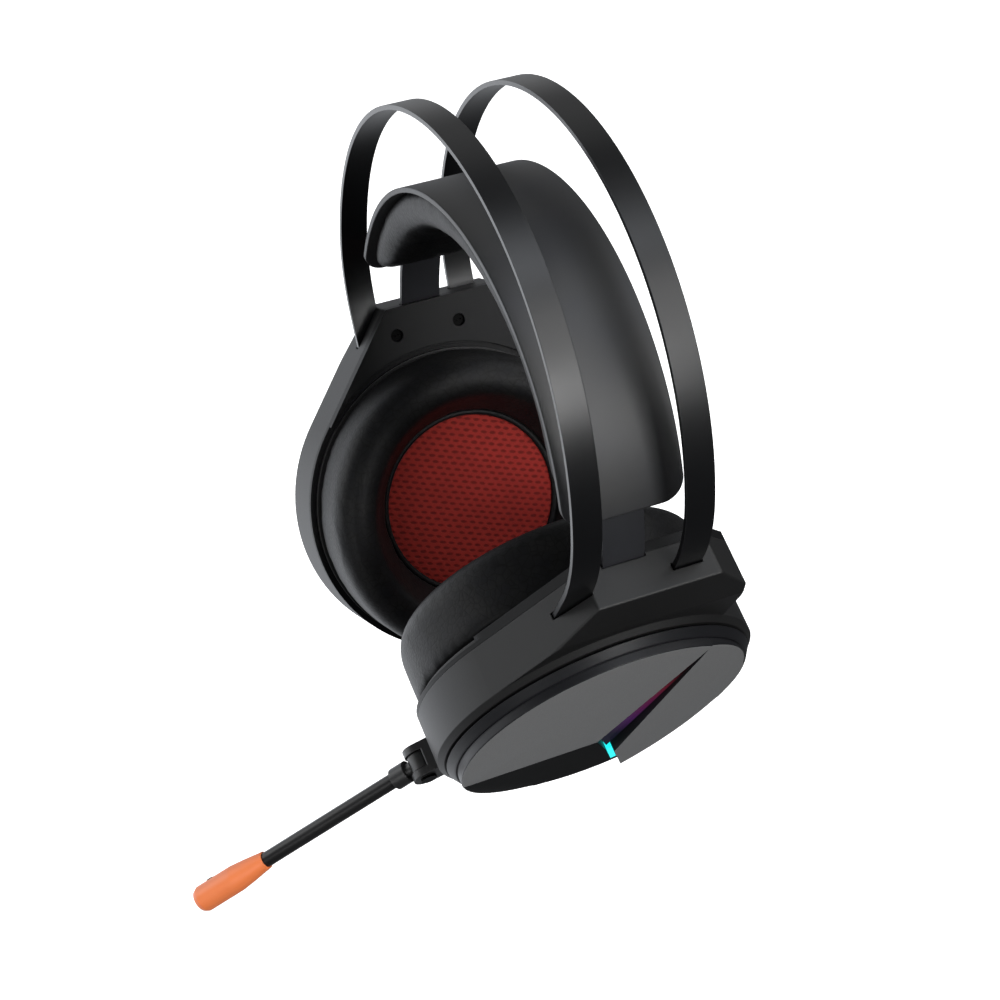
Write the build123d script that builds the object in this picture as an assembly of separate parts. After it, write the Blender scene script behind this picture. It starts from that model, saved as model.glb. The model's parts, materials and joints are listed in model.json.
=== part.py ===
from build123d import *
import math
import os

# Gaming headset: two sprung hoops, a sliding head pad and two ear cups.
# Millimetres. +X is the wearer's left, +Y the back of the head, +Z up.
# The origin lies on the ear axis, midway between the two cushion faces.

# Where the cups sit
cushion_gap = 0.2  # between the two ear cushions where they come closest
cup_tilt = 25.4  # each cup leans outwards at its top, degrees

# Ear cup, measured from the parting face between shell and inner plate
cup_radius = 48.35
shell_depth = 14.9  # to the start of the outer chamfer
rim_chamfer = 1.6
wall = 2.0
plate_thickness = 1.5  # the inner plate behind the cushion
plate_step = 1.5  # extra thickness of the inner plate on the block
cushion_depth = 25.0
fit_gap = 0.3  # between soft pieces and what they lie against
snug = 0.05  # between hard pieces that are fitted together
part_low = 0.5  # height at which the shell meets the inner plate

# Block on top of the cup, seen along the cup's axis: v runs back, w up
block_rise = 14.15  # above the round part
ridge_front_reach = 4.15  # the ridge's front end stops short of the front hoop's middle
ridge_rear_reach = 8.3  # and runs past the rear hoop's middle
rear_corner_reach = 17.4
rear_corner_drop = 9.1
rear_side_drop = 12.5
rear_foot_inset = 3.1
block_lean = 2.5  # the block's outer face leans in by this much
slope_drop = 12.5  # and starts to lean this far below its top
corner_round = 1.2
edge_round = 0.7

# Cap ring and faceted face plates
cap_gap = 0.5
cap_setback = 0.35
cap_taper = 1.5
cap_height = 2.8
cap_seat_inset = 3.0
cap_width = 7.4
face_inset = 0.75
face_rise = 2.6  # of the front facet's upper rim over the cap ring
front_facet_rise = 0.9
rear_facet_fall = 2.4
bottom_facet_fall = 2.6
seam_gap = 0.3
slit_tip_angle = 33.2  # from the cup's top towards the back
slit_tip_inset = 1.8
slit_front = (-0.5, -10.8)
slit_rear = (7.2, -24.6)
status_end_angle = 162.2
status_end_inset = 6.1
status_width = 2.1
status_start = 1.8  # the small light starts this far from the slit
status_play = 0.1
status_drop = 1.2  # below the front facet's rim
board_thickness = 1.2

# Driver, mesh and cushion
driver_radius = 26.5
driver_hole_radius = 24.0
diaphragm_radius = 21.0
magnet_radius = 12.0
mesh_radius = 27.0
mesh_depth = 10.2
mesh_dome = 1.6
mesh_frame_wall = 1.8
cushion_inset = 0.75
cushion_crest_radius = 38.5
cushion_round = 8.5
cushion_mouth_radius = 32.5
ring_thickness = 1.4

# Hoops
hoop_entry_u = 6.5  # where the hoops enter the block's top
hoop_overhang = 5.5  # the large arc stands this far outside that entry
hoop_rise = 19.2  # and its centre lies this far above it
hoop_width = 8.3
hoop_thickness = 1.4
hoop_spacing = 32.6
hoop_turn = 87.0  # half angle of the large arc, degrees
hoop_end_radius = 45.0
hoop_end_lean = 3.1  # the tails lean in this much more than the cups
hoop_tail = 19.0
slot_gap = 0.35

# Head pad
strap_entry_u = 0.2  # where the straps enter the block's top
pad_centre_rise = 0.8  # the pad's centre lies this far above that entry
pad_half_angle = 78.0
pad_width = 35.5
pad_skin = 1.5
pad_core = 2.9
pad_cushion = 9.0
pad_corner = 6.5
pad_lift = 15.0
strap_width = 12.4
strap_thickness = 1.6
strap_reach = 18.0  # length of strap inside the block at rest
strap_grip_angle = 58.0
rivet_radius = 1.1
rivet_spacing = 7.2

# Clamps and screws
clamp_inner_wall = 4.15
clamp_outer_wall = 2.05
clamp_height = 22.5
clamp_depth = 9.6
block_screw_inset = 2.2
block_screw_drop = 8.5
screw_head_radius = 1.9
screw_head_height = 1.2
screw_sink = 1.2  # of the block screws below the plate
screw_radius = 1.2
baffle_screw_inset = 10.35
baffle_angles = (55, 160, 235, 300)

# Microphone
mic_u = 8.0
mic_angle = -119.0  # place on the cup, from its top towards the back
mic_stand_off = 4.85  # of the pivot from the shell
mic_direction = -134.0
eye_radius = 3.9
eye_width = 4.8
lug_width = 2.2
pin_radius = 1.5
boom_radius = 2.3
boom_bore = 1.2
boom_length = 60.9
collar_radius = 3.3
collar_height = 5.0
capsule_length = 27.0
capsule_radius = 4.15
capsule_neck = 2.75
port_radius = 1.9
port_setback = 7.0  # from the capsule's end

# Cable inlet in the bottom of the left cup
inlet_u = 7.6
inlet_bore = 2.2
inlet_wall = 1.2
inlet_collar = 4.6
inlet_flange = 3.6

tilt = math.radians(cup_tilt)
cushion_radius = cup_radius - cushion_inset
cushion_face = cushion_depth + plate_thickness - part_low
cup_x = cushion_gap / 2 + cushion_round
cup_x += (cushion_face - cushion_round) * math.cos(tilt)
cup_x += (cushion_radius - cushion_round) * math.sin(tilt)
cup_z = -cushion_face * math.sin(tilt)
cup_plane = Plane(
    origin=(cup_x, 0, cup_z),
    x_dir=(0, 1, 0),
    z_dir=(math.cos(tilt), 0, -math.sin(tilt)),
)
mirror_plane = Plane.YZ


def cup_point(v, w, u):
    """A point given in the left cup's own directions."""
    return cup_plane.from_local_coords(Vector(v, w, u))


def on_rim(angle, radius):
    """A point at an angle from the top of the cup towards the back."""
    turn = math.radians(angle)
    return (radius * math.sin(turn), radius * math.cos(turn))


# Block and its contents
block_top = cup_radius + block_rise
ridge_front = ridge_front_reach - hoop_spacing / 2
ridge_rear = hoop_spacing / 2 + ridge_rear_reach
rear_corner_v = hoop_spacing / 2 + rear_corner_reach
rear_corner_w = block_top - rear_corner_drop
rear_side_w = block_top - rear_side_drop
rear_foot_v = rear_corner_v - rear_foot_inset
block_outer_u = shell_depth - block_lean
slope_start_w = block_top - slope_drop
clamp_inner_v = (hoop_spacing - hoop_width) / 2 - clamp_inner_wall
clamp_outer_v = (hoop_spacing + hoop_width) / 2 + clamp_outer_wall
block_screw_v = clamp_inner_v + block_screw_inset
block_screw_w = block_top - block_screw_drop
baffle_screw_radius = cup_radius - baffle_screw_inset

# Heights along the cup's axis
plate_low = part_low - plate_thickness
block_low = plate_low - plate_step
rim_u = shell_depth + rim_chamfer
floor_u = rim_u - wall
cap_low = rim_u + cap_gap
cap_high = cap_low + cap_height
board_high = rim_u + board_thickness
face_top_u = cap_high + face_rise
ridge_u = face_top_u + front_facet_rise

# Radii of the round pieces
cap_base_radius = cup_radius - rim_chamfer - cap_setback
cap_top_radius = cap_base_radius - cap_taper
cap_seat_radius = cap_base_radius - cap_seat_inset
cap_inner_radius = cap_base_radius - cap_width
face_radius = cap_top_radius - face_inset
mic_pivot_radius = cup_radius + mic_stand_off
slit_tip = on_rim(slit_tip_angle, face_radius - slit_tip_inset)
status_end = on_rim(status_end_angle, face_radius - status_end_inset)

# Hoops and pad follow the block
hoop_entry = cup_point(0, block_top, hoop_entry_u)
hoop_radius = hoop_entry.X + hoop_overhang
hoop_centre_z = hoop_entry.Z + hoop_rise
hoop_end_turn = 90 - hoop_turn + cup_tilt + hoop_end_lean
strap_entry = cup_point(0, block_top, strap_entry_u)
strap_x = strap_entry.X
pad_radius = strap_x + strap_thickness / 2 + snug + pad_skin
pad_centre_z = strap_entry.Z + pad_centre_rise


def disc(radius, low, high, inner=0.0, at=(0, 0)):
    """A round plate or ring between two heights."""
    height = high - low
    shape = Cylinder(radius, height)
    if inner > 0:
        shape -= Cylinder(inner, height + 1)
    return Pos(at[0], at[1], (low + high) / 2) * shape


def turned(points):
    """A solid of revolution about the cup's axis from (radius, height) points."""
    outline = make_face(Polyline(*points, close=True))
    return revolve(Plane.XZ * outline, axis=Axis.Z)


def prism(points, low, high):
    """A straight-sided solid over a polygon in the cup's plane."""
    outline = make_face(Polyline(*points, close=True))
    return Pos(0, 0, low) * extrude(outline, amount=high - low)


def cup_outline(inset=0.0):
    """The teardrop seen along the cup's axis: a circle that carries the block."""
    radius = cup_radius - inset
    top = block_top - inset
    rear_v = rear_corner_v - inset
    cut = inset * math.tan(math.radians(22.5))
    reach = math.hypot(ridge_front, block_top)
    front_turn = math.atan2(-ridge_front, block_top) + math.acos(cup_radius / reach)
    tangent = (-radius * math.sin(front_turn), radius * math.cos(front_turn))
    slope = (math.cos(front_turn), math.sin(front_turn))
    ridge = (tangent[0] + (top - tangent[1]) * slope[0] / slope[1], top)
    foot_v = rear_foot_v - inset
    foot = (foot_v, math.sqrt(radius**2 - foot_v**2))
    side_top = (rear_v, rear_corner_w - cut)
    side_low = (rear_v, rear_side_w - cut / 2)
    crest = (ridge_rear - cut, top)
    bottom = (0, -radius)
    lines = [
        ThreePointArc(tangent, on_rim(-120, radius), bottom),
        ThreePointArc(bottom, on_rim(110, radius), foot),
        Line(foot, side_low),
        Line(side_low, side_top),
        Line(side_top, crest),
        Line(crest, ridge),
        Line(ridge, tangent),
    ]
    outline = make_face(lines)
    sharp = [v for v in outline.vertices() if v.Y > foot[1] + 1]
    return fillet(sharp, radius=max(corner_round - inset / 4, 0.4))


def outer_slope(shift=0.0):
    """Everything outside the leaning outer face of the block."""
    top_u = block_outer_u - shift
    low_u = shell_depth - shift
    rate = (low_u - top_u) / (block_top - slope_start_w)
    far = 40.0
    points = [
        (slope_start_w, low_u),
        (slope_start_w + far, low_u - rate * far),
        (slope_start_w + far, low_u + far),
        (slope_start_w, low_u + far),
    ]
    face = make_face(Polyline(*points, close=True))
    return extrude(Plane.YZ * face, amount=3 * cup_radius, both=True)


def cavity(inset):
    """The hollow of the shell, down from the parting face."""
    hollow = Pos(0, 0, part_low) * extrude(cup_outline(inset), amount=floor_u - part_low)
    return hollow - outer_slope(wall)


def arc_strip(radius, centre_z, thickness, half_angle, width):
    """A curved strip over the head, radius to its middle."""
    outer = radius + thickness / 2
    inner = radius - thickness / 2
    turn = math.radians(half_angle)
    ends = [
        (side * r * math.sin(turn), centre_z + r * math.cos(turn))
        for side in (-1, 1)
        for r in (outer, inner)
    ]
    lines = [
        ThreePointArc(ends[0], (0, centre_z + outer), ends[2]),
        Line(ends[2], ends[3]),
        ThreePointArc(ends[3], (0, centre_z + inner), ends[1]),
        Line(ends[1], ends[0]),
    ]
    return extrude(Plane.XZ * make_face(lines), amount=width / 2, both=True)


def hoop_edge(offset, tail):
    """One long edge of the hoop's side view, from the left tail to the right."""
    end_radius = hoop_end_radius + offset
    centre = hoop_radius - hoop_end_radius
    turn = math.radians(hoop_turn)
    last = turn + math.radians(hoop_end_turn)
    start = (
        (hoop_radius + offset) * math.sin(turn),
        hoop_centre_z + (hoop_radius + offset) * math.cos(turn),
    )
    hub = (centre * math.sin(turn), hoop_centre_z + centre * math.cos(turn))
    half = turn + math.radians(hoop_end_turn) / 2
    middle = (hub[0] + end_radius * math.sin(half), hub[1] + end_radius * math.cos(half))
    stop = (hub[0] + end_radius * math.sin(last), hub[1] + end_radius * math.cos(last))
    tip = (stop[0] + tail * math.cos(last), stop[1] - tail * math.sin(last))
    top = (0, hoop_centre_z + hoop_radius + offset)
    right = [start, middle, stop, tip]
    left = [(-x, z) for x, z in right]
    edges = [
        Line(left[3], left[2]),
        ThreePointArc(left[2], left[1], left[0]),
        ThreePointArc(left[0], top, right[0]),
        ThreePointArc(right[0], right[1], right[2]),
        Line(right[2], right[3]),
    ]
    return edges, left[3], right[3]


def hoop(side, gap=0.0):
    """A sprung steel hoop; a gap makes the room that it needs instead."""
    outer, outer_left, outer_right = hoop_edge(hoop_thickness / 2 + gap, hoop_tail + gap)
    inner, inner_left, inner_right = hoop_edge(-hoop_thickness / 2 - gap, hoop_tail + gap)
    lines = outer + inner + [Line(outer_left, inner_left), Line(outer_right, inner_right)]
    strip = extrude(Plane.XZ * make_face(lines), amount=hoop_width / 2 + gap, both=True)
    return Pos(0, side * hoop_spacing / 2, 0) * strip


def strap(gap=0.0):
    """The left strap: straight down into the block, curved up into the pad."""
    half = strap_thickness / 2 + gap
    low = strap_entry.Z - strap_reach - gap
    turn = math.radians(90 - strap_grip_angle)
    middle = turn / 2
    edges = []
    ends = []
    for radius in (strap_x - half, strap_x + half):
        tip = (radius * math.cos(turn), pad_centre_z + radius * math.sin(turn))
        halfway = (radius * math.cos(middle), pad_centre_z + radius * math.sin(middle))
        edges.append(Line((radius, low), (radius, pad_centre_z)))
        edges.append(ThreePointArc((radius, pad_centre_z), halfway, tip))
        ends.append(((radius, low), tip))
    edges.append(Line(ends[0][0], ends[1][0]))
    edges.append(Line(ends[0][1], ends[1][1]))
    return extrude(Plane.XZ * make_face(edges), amount=strap_width / 2 + gap, both=True)


def strap_slot():
    """Room for the strap through the block's top face."""
    return extrude(
        Plane.XY.offset(-cup_radius)
        * Pos(strap_x, 0)
        * Rectangle(strap_thickness + 2 * slot_gap, strap_width + 2 * slot_gap),
        amount=4 * cup_radius,
    )


def make_shell():
    """Outer shell of the left cup with its block, without the mic and cable holes."""
    round_part = turned(
        [
            (0, part_low),
            (cup_radius, part_low),
            (cup_radius, shell_depth),
            (cup_radius - rim_chamfer, rim_u),
            (0, rim_u),
        ]
    )
    block = Pos(0, 0, part_low) * extrude(cup_outline(), amount=shell_depth - part_low)
    block -= outer_slope()
    leaning = block.faces().filter_by(lambda f: f.normal_at().Z > 0.5 and f.center().Y > slope_start_w)
    rim = leaning[0].edges().filter_by(lambda e: e.center().Y > slope_start_w + 1)
    shell = round_part + fillet(rim, radius=edge_round)
    shell -= cavity(wall)
    shell -= disc(9, floor_u - 1, rim_u + 1)
    for angle in baffle_angles:
        boss = disc(3.0, part_low, floor_u, screw_radius + snug, on_rim(angle, baffle_screw_radius))
        shell += boss
    return shell


def make_inner_plate():
    """Plate that closes the shell, carries the driver and covers the block."""
    plate = Pos(0, 0, block_low) * extrude(cup_outline(), amount=part_low - block_low)
    plate -= disc(cup_radius + snug, block_low - 1, plate_low)
    plate -= disc(driver_hole_radius, block_low - 1, part_low + 1)
    for angle in baffle_angles:
        spot = on_rim(angle, baffle_screw_radius)
        plate -= disc(screw_radius + snug, block_low - 1, part_low + 1, at=spot)
    for side in (-1, 1):
        spot = (side * block_screw_v, block_screw_w)
        plate -= disc(screw_radius + snug, block_low - 1, part_low + 1, at=spot)
        seat = block_low + screw_sink + screw_head_height
        plate -= disc(screw_head_radius + snug, block_low - 1, seat, at=spot)
    return plate


def make_clamp(side):
    """Block that grips one hoop end inside the shell."""
    middle = side * (clamp_inner_v + clamp_outer_v) / 2
    width = clamp_outer_v - clamp_inner_v
    place = Pos(middle, block_top - clamp_height / 2, part_low + clamp_depth / 2)
    box = place * Box(width, clamp_height, clamp_depth)
    body = box & cavity(wall + snug)
    spot = (side * block_screw_v, block_screw_w)
    body -= disc(screw_radius + snug, part_low - 1, part_low + clamp_depth - 1.5, at=spot)
    return body


def make_screw(spot, head_low, length):
    """A pan-head screw along the cup's axis."""
    head_high = head_low + screw_head_height
    head = disc(screw_head_radius, head_low, head_high, at=spot)
    shank = disc(screw_radius, head_high, head_low + length, at=spot)
    slot = Pos(spot[0], spot[1], head_low) * Box(2.2, 0.6, 1.0)
    return head + shank - slot


def make_cap_ring():
    """Ring between the shell and the face plates, seated inside the shell's rim."""
    return turned(
        [
            (cap_inner_radius, rim_u),
            (cap_seat_radius, rim_u),
            (cap_seat_radius, cap_low),
            (cap_base_radius - 0.3, cap_low),
            (cap_base_radius, cap_low + 0.3),
            (cap_top_radius, cap_high - 0.3),
            (cap_top_radius - 0.3, cap_high),
            (cap_inner_radius, cap_high),
        ]
    )


def over_plane(plane_points):
    """Everything above the plane through three points."""
    first, second, third = [Vector(*p) for p in plane_points]
    normal = (second - first).cross(third - first)
    if normal.Z < 0:
        normal = normal * -1
    size = 10 * cup_radius
    return Plane(origin=first, z_dir=normal) * (Pos(0, 0, size / 2) * Box(size, size, size))


def facet(points, plane_points):
    """A face plate over a polygon, its top cut to the plane through three points."""
    low = cap_high
    high = ridge_u + 3
    body = prism(points, low, high) & disc(face_radius, low, high)
    return body - over_plane(plane_points)


def shifted(point, dv, dw):
    return (point[0] + dv, point[1] + dw)


def make_face_plates():
    """Front, rear and bottom facets round the lit slit."""
    far = 2 * face_radius
    along = math.atan2(slit_front[1] - slit_tip[1], slit_front[0] - slit_tip[0])
    tip_out = shifted(slit_tip, -20 * math.cos(along), -20 * math.sin(along))
    left_end = (-far, slit_front[1] - 3.0)
    front = facet(
        [tip_out, slit_front, left_end, (-far, far), (0, far)],
        [
            (0, face_radius, face_top_u),
            (slit_front[0], slit_front[1], ridge_u),
            (-face_radius, slit_front[1] - 2, ridge_u),
        ],
    )
    back = math.atan2(slit_rear[1] - slit_tip[1], slit_rear[0] - slit_tip[0])
    rear_tip = shifted(slit_tip, seam_gap - 20 * math.cos(back), -20 * math.sin(back))
    out = math.atan2(status_end[1] - slit_rear[1], status_end[0] - slit_rear[0])
    edge = (status_width / 2) / math.sin(-out)
    stop = shifted(status_end, edge + 8 * math.cos(out), 8 * math.sin(out))
    rear = facet(
        [rear_tip, shifted(slit_rear, edge, 0), stop, (far, -far), (far, far)],
        [
            (slit_tip[0], slit_tip[1], face_top_u),
            (slit_rear[0], slit_rear[1], ridge_u),
            (face_radius, 0, face_top_u - rear_facet_fall),
        ],
    )
    low_stop = shifted(status_end, -edge + 8 * math.cos(out), 8 * math.sin(out))
    bottom = facet(
        [
            shifted(slit_front, 0, -seam_gap),
            shifted(slit_rear, -edge, 0),
            low_stop,
            (low_stop[0], -far),
            (-far, -far),
            shifted(left_end, 0, -seam_gap),
        ],
        [
            (slit_front[0], slit_front[1], ridge_u),
            (-face_radius, slit_front[1] - 2, ridge_u),
            (0, -face_radius, face_top_u - bottom_facet_fall),
        ],
    )
    return front, rear, bottom


def make_slit_light():
    """Light guide that fills the slit, its top sunk towards the wide end."""
    inset = seam_gap
    points = [
        (slit_tip[0] - 0.4, slit_tip[1] - 3.0),
        (slit_front[0] + 1.5 * inset, slit_front[1] + 0.5 * inset),
        (slit_rear[0] - 0.7, slit_rear[1] + 2.6 * inset),
    ]
    body = prism(points, board_high, face_top_u + 1)
    body -= disc(2 * face_radius, board_high, cap_high + snug, cap_inner_radius - snug)
    top = [
        (slit_tip[0], slit_tip[1], face_top_u - 0.3),
        (slit_front[0], slit_front[1], face_top_u - 1.9),
        (slit_rear[0], slit_rear[1], face_top_u - 1.5),
    ]
    return body - over_plane(top)


def make_status_light():
    """Small bright light between the rear and bottom facets."""
    run_v = status_end[0] - slit_rear[0]
    run_w = status_end[1] - slit_rear[1]
    out = math.atan2(run_w, run_v)
    length = math.hypot(run_v, run_w) - status_start - 0.5
    reach = status_start + length / 2
    middle = shifted(slit_rear, reach * math.cos(out), reach * math.sin(out))
    top = face_top_u - status_drop
    width = (status_width - 2 * status_play) * abs(math.sin(out))
    bar = Box(length, width, top - board_high)
    return Pos(middle[0], middle[1], (top + board_high) / 2) * Rot(0, 0, math.degrees(out)) * bar


def make_light_board():
    """Board under the face plates with a row of small lamps."""
    return disc(cap_inner_radius - 0.5, rim_u, board_high, inner=6)


def make_driver_frame():
    """Basket of the speaker driver, screwed to the back of the inner plate."""
    return turned(
        [
            (22.2, part_low),
            (driver_radius, part_low),
            (driver_radius, part_low + 1.6),
            (23.5, part_low + 2.2),
            (14.5, 7.0),
            (14.5, 8.4),
            (8.0, 8.4),
            (8.0, 6.9),
            (13.0, 6.0),
            (22.2, part_low + 1.6),
        ]
    )


def make_diaphragm():
    """Thin cone and dome that moves the air."""
    return turned(
        [
            (0, -0.9),
            (6, -0.4),
            (9, 1.2),
            (14, 0.2),
            (diaphragm_radius, part_low + 0.2),
            (diaphragm_radius + 1.1, part_low + 0.4),
            (diaphragm_radius + 1.1, part_low + 0.8),
            (diaphragm_radius, part_low + 0.6),
            (14, 0.6),
            (9, 1.6),
            (6, 0.0),
            (0, -0.5),
        ]
    )


def make_magnet():
    """Magnet pot with the voice coil's pole."""
    pot = disc(magnet_radius, 8.4 + snug, 11.6)
    pole = disc(6.5, 2.6, 8.4 + snug)
    return pot + pole


def make_cushion_ring():
    """Plastic ring inside the cushion's foot."""
    outer = cushion_radius - 1.0
    return disc(outer, plate_low - ring_thickness, plate_low, mesh_radius + mesh_frame_wall + 1.4)


def make_mesh_frame():
    """Short basket that holds the ear mesh in front of the driver."""
    outer = mesh_radius + mesh_frame_wall
    return turned(
        [
            (outer - mesh_frame_wall, plate_low),
            (outer + 1.0, plate_low),
            (outer + 1.0, plate_low - ring_thickness),
            (outer, plate_low - ring_thickness),
            (outer, -mesh_depth + 0.9),
            (outer - mesh_frame_wall, -mesh_depth + 0.9),
        ]
    )


def make_mesh():
    """Domed cloth over the driver, a little thicker than the real cloth."""
    rise = mesh_dome
    rim = mesh_radius + mesh_frame_wall
    low = -mesh_depth
    arc = ThreePointArc((0, low - rise), (rim * 0.55, low - rise * 0.72), (rim, low))
    back = ThreePointArc((0, low - rise + 0.8), (rim * 0.55, low - rise * 0.72 + 0.8), (rim, low + 0.8))
    lines = [arc, Line((rim, low), (rim, low + 0.8)), back, Line((0, low - rise + 0.8), (0, low - rise))]
    return revolve(Plane.XZ * make_face(lines), axis=Axis.Z)


def make_cushion():
    """Ear cushion as a plain padded ring; the face is towards the head."""
    foot = plate_low - ring_thickness - fit_gap
    top = -cushion_face
    seat = mesh_radius + mesh_frame_wall + 1.0 + fit_gap
    lip = -mesh_depth - fit_gap - 0.4
    crest = cushion_crest_radius
    outer_mid = (cushion_radius - 0.29 * cushion_round, top + 0.29 * cushion_round)
    inner_mid = ((crest + cushion_mouth_radius) / 2 - 0.9, top + 1.4)
    lines = [
        Line((seat, foot), (cushion_radius - 0.6, foot)),
        Line((cushion_radius - 0.6, foot), (cushion_radius, foot - 3)),
        Line((cushion_radius, foot - 3), (cushion_radius, top + cushion_round)),
        ThreePointArc(
            (cushion_radius, top + cushion_round), outer_mid, (cushion_radius - cushion_round, top)
        ),
        Line((cushion_radius - cushion_round, top), (crest, top)),
        ThreePointArc((crest, top), inner_mid, (cushion_mouth_radius, top + 4.5)),
        Line((cushion_mouth_radius, top + 4.5), (mesh_radius + 0.4, lip)),
        Line((mesh_radius + 0.4, lip), (seat, lip)),
        Line((seat, lip), (seat, foot)),
    ]
    return revolve(Plane.XZ * make_face(lines), axis=Axis.Z)


def make_amp_board():
    """Sound board of the left cup, on four feet against the shell's floor."""
    board = Pos(0, 0, floor_u - 1.6) * Box(36, 26, board_thickness)
    for v in (-15, 15):
        for w in (-10, 10):
            board += disc(1.4, floor_u - 1.6, floor_u, at=(v, w))
    return board


def make_cup():
    """Every piece of the left cup that the right cup has too, in its place."""
    room = hoop(-1, slot_gap) + hoop(1, slot_gap) + strap_slot()
    grip = hoop(-1, snug) + hoop(1, snug)
    front_face, rear_face, bottom_face = make_face_plates()
    cushion_ring = make_cushion_ring()
    block_screws = []
    for side in (-1, 1):
        spot = (side * block_screw_v, block_screw_w)
        block_screws.append(make_screw(spot, block_low + screw_sink, 8.0))
    baffle_screws = []
    for angle in baffle_angles:
        spot = on_rim(angle, baffle_screw_radius)
        baffle_screws.append(make_screw(spot, plate_low - screw_head_height, 9.0))
        cushion_ring -= disc(screw_head_radius + 0.2, plate_low - 2, plate_low + 1, at=spot)
    pieces = {
        "shell": make_shell(),
        "inner_plate": make_inner_plate(),
        "cap_ring": make_cap_ring(),
        "front_face": front_face,
        "rear_face": rear_face,
        "bottom_face": bottom_face,
        "slit_light": make_slit_light(),
        "status_light": make_status_light(),
        "light_board": make_light_board(),
        "driver_frame": make_driver_frame(),
        "diaphragm": make_diaphragm(),
        "magnet": make_magnet(),
        "cushion_ring": cushion_ring,
        "mesh_frame": make_mesh_frame(),
        "ear_mesh": make_mesh(),
        "ear_cushion": make_cushion(),
        "front_clamp": make_clamp(-1),
        "rear_clamp": make_clamp(1),
    }
    cup = {name: cup_plane * shape for name, shape in pieces.items()}
    cup["shell"] -= room
    cup["inner_plate"] -= strap_slot()
    cup["front_clamp"] -= grip
    cup["rear_clamp"] -= grip
    cup["block_screws"] = Compound([cup_plane * screw for screw in block_screws])
    cup["baffle_screws"] = Compound([cup_plane * screw for screw in baffle_screws])
    return cup


def make_cable_inlet():
    """A grommet through the bottom wall of the left shell, and its hole."""
    place = Plane(
        origin=cup_point(0, -cup_radius, inlet_u),
        z_dir=-cup_plane.y_dir,
        x_dir=cup_plane.z_dir,
    )
    radius = inlet_bore + inlet_wall
    grommet = disc(radius, -wall - 1, 1) + disc(inlet_collar, fit_gap / 3, inlet_flange)
    grommet += disc(inlet_collar, -wall - 2.2, -wall - 0.4)
    grommet -= disc(inlet_bore, -20, 20)
    hole = disc(radius + snug, -wall - 2, 2)
    return place * grommet, place * hole


def make_microphone():
    """Bracket on the cup, pin, eye with its collar, boom, capsule and what it holds."""
    pivot = on_rim(mic_angle, mic_pivot_radius)
    half_eye = eye_width / 2
    lug_low = half_eye + fit_gap
    lug_high = lug_low + lug_width
    lug_radius = eye_radius + 0.5
    foot = mic_stand_off + 3
    bracket = Pos(0, -foot / 2, 0) * Box(2 * lug_radius, foot, 2 * lug_high)
    bracket += disc(lug_radius, -lug_high, lug_high)
    bracket -= disc(lug_radius + 0.4, -lug_low, lug_low)
    bracket -= disc(pin_radius, -20, 20)
    bracket = Pos(pivot[0], pivot[1], mic_u) * Rot(0, 0, -mic_angle) * bracket
    bracket -= disc(cup_radius + snug, -10, 30)
    pin = disc(pin_radius, -lug_high, lug_high) + disc(pin_radius + 0.9, lug_high, lug_high + 0.7)

    along = Plane(
        origin=cup_point(pivot[0], pivot[1], mic_u),
        x_dir=cup_plane.z_dir,
        z_dir=cup_point(*on_rim(mic_direction, 1), 0) - cup_plane.origin,
    )
    neck_radius = half_eye - 0.3
    collar_start = eye_radius + 1.4
    boom_start = collar_start + 1.0
    knuckle = Rot(0, 90, 0) * disc(eye_radius, -half_eye, half_eye)
    knuckle += disc(neck_radius, 0, collar_start + 0.4)
    knuckle += disc(collar_radius, collar_start, collar_start + collar_height)
    knuckle -= disc(boom_radius + snug, boom_start, 20)
    knuckle -= Rot(0, 90, 0) * disc(pin_radius + snug, -10, 10)
    boom = disc(boom_radius, boom_start, boom_length + 6, boom_bore)

    tip = boom_length + capsule_length
    capsule = turned(
        [
            (boom_radius + snug, boom_length),
            (capsule_neck, boom_length),
            (capsule_radius - 0.5, boom_length + 7),
            (capsule_radius, boom_length + 12),
            (capsule_radius, tip - 1.8),
            (capsule_radius - 0.6, tip - 0.5),
            (capsule_radius - 1.8, tip),
            (0, tip),
            (0, tip - 1.4),
            (capsule_radius - 1.0, tip - 1.4),
            (capsule_radius - 1.0, boom_length + 13),
            (boom_radius + snug, boom_length + 8),
        ]
    )
    side = Pos(0, 0, tip - port_setback) * Rot(0, -90, 0)
    port = side * disc(port_radius, capsule_radius - 1.9, capsule_radius - 0.15)
    capsule -= side * disc(port_radius + snug, 0, capsule_radius + 2)
    element = disc(capsule_radius - 1.1, tip - port_setback - 7, tip - port_setback - 3)
    return {
        "mic_bracket": cup_plane * bracket,
        "mic_pin": cup_plane * (Pos(pivot[0], pivot[1], mic_u) * pin),
        "mic_knuckle": along * knuckle,
        "mic_boom": along * boom,
        "mic_capsule": along * capsule,
        "mic_port": along * port,
        "mic_element": along * element,
    }


def pad_layer(outer, thickness, half_angle, width, corner):
    """One layer of the head pad, its four corners rounded."""
    layer = arc_strip(outer - thickness / 2, pad_centre_z, thickness, half_angle, width)
    corners = layer.edges().filter_by(lambda e: abs(e.length - thickness) < 0.01)
    return fillet(corners, radius=corner)


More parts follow.
